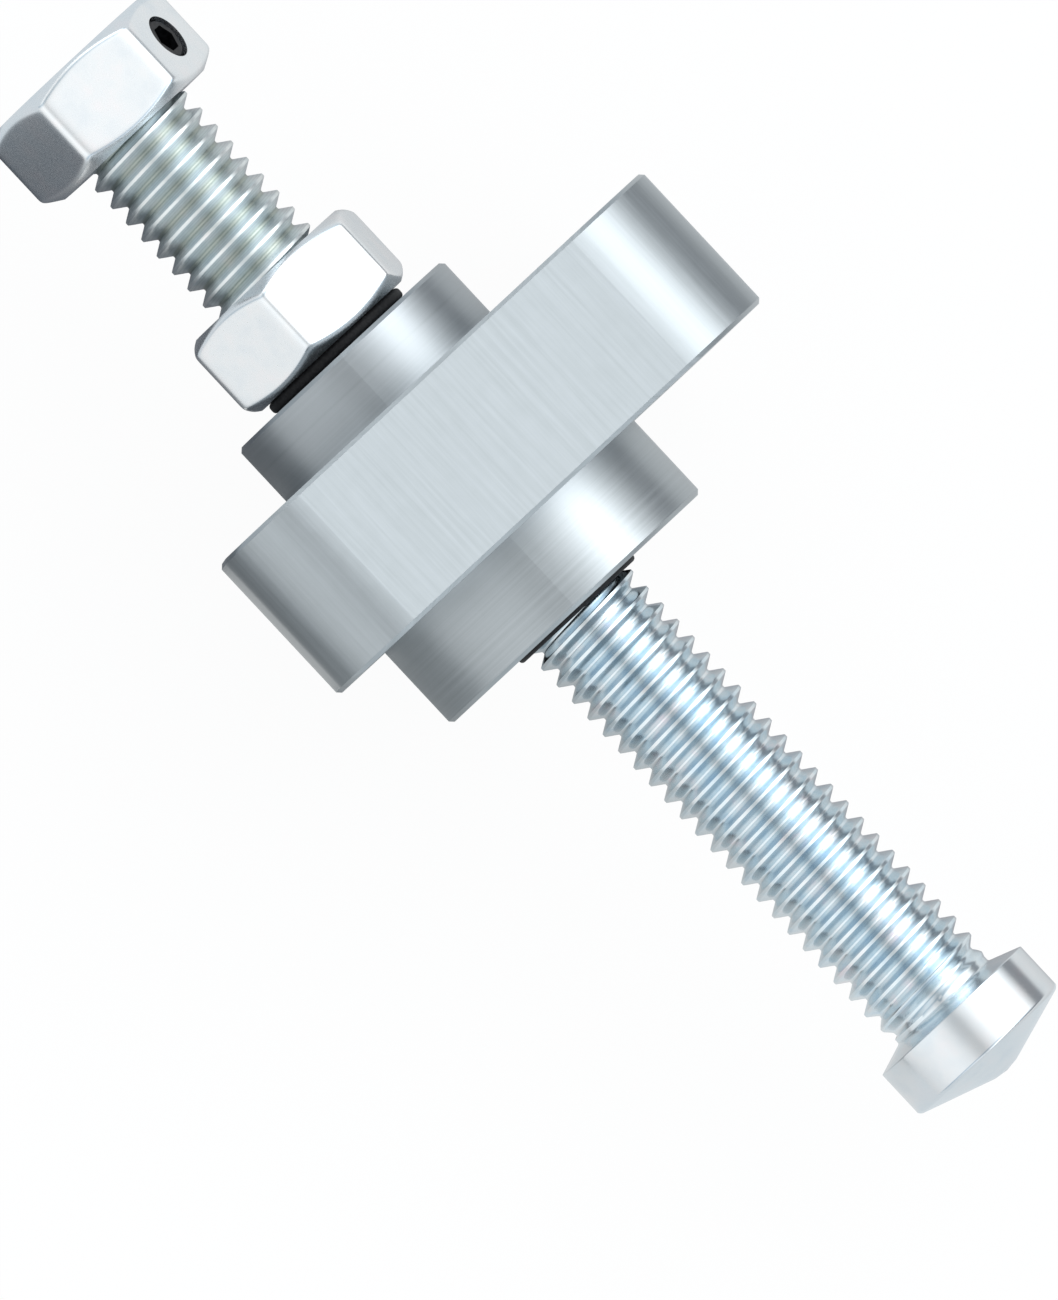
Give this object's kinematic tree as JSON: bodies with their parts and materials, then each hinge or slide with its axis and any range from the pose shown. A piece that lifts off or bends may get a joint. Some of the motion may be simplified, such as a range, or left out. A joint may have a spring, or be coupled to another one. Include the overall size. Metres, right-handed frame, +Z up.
{
  "type": "cam chain tensioner",
  "caption": "Manual cam chain tensioner: a flanged aluminium body with a long adjuster screw that ends in a cone-faced foot, turned by a hex head and held by a lock nut.",
  "frame": {"origin": "on the screw axis, in the plane of the flange face that seats on the engine", "axes": "+X along the screw from the hex head to the foot, into the engine; +Z up, out of the long plain edge of the flange; +Y completes a right-handed frame"},
  "size_m": [0.0968, 0.0407, 0.0397],
  "materials": {
    "machined_aluminium": "satin, turned and milled",
    "zinc_steel": "bright zinc plate with a faint blue tint",
    "black_steel": "black oxide",
    "black_rubber": "smooth black rubber"
  },
  "bodies": {
    "housing": {"body": "machined_aluminium", "mouth_ring": "black_rubber"},
    "adjuster": {"adjuster_screw": "zinc_steel"},
    "drive_head": {"head_nut": "zinc_steel", "set_screw": "black_steel"},
    "lock_seal": {"lock_ring": "black_rubber"},
    "lock_collar": {"lock_nut": "zinc_steel"}
  },
  "joints": [
    {"name": "adjuster_feed", "type": "slide", "parent": "housing", "child": "adjuster", "axis": [1, 0, 0], "range_m": [-0.03651, 0.00953]},
    {"name": "adjuster_turn", "type": "hinge", "parent": "adjuster", "child": "drive_head", "pos_m": [0, 0, 0], "axis": [1, 0, 0], "range_deg": [-8281, 2161]},
    {"name": "lock_nut_lift", "type": "slide", "parent": "housing", "child": "lock_seal", "axis": [-1, 0, 0], "range_m": [0, 0.00317]},
    {"name": "lock_nut_turn", "type": "hinge", "parent": "lock_seal", "child": "lock_collar", "pos_m": [0, 0, 0], "axis": [-1, 0, 0], "range_deg": [-1, 721]}
  ],
  "couplings": [
    {"joint": "adjuster_turn", "follows": "adjuster_feed", "rad_per_m": 3957.9},
    {"joint": "lock_nut_turn", "follows": "lock_nut_lift", "rad_per_m": 3957.9}
  ]
}
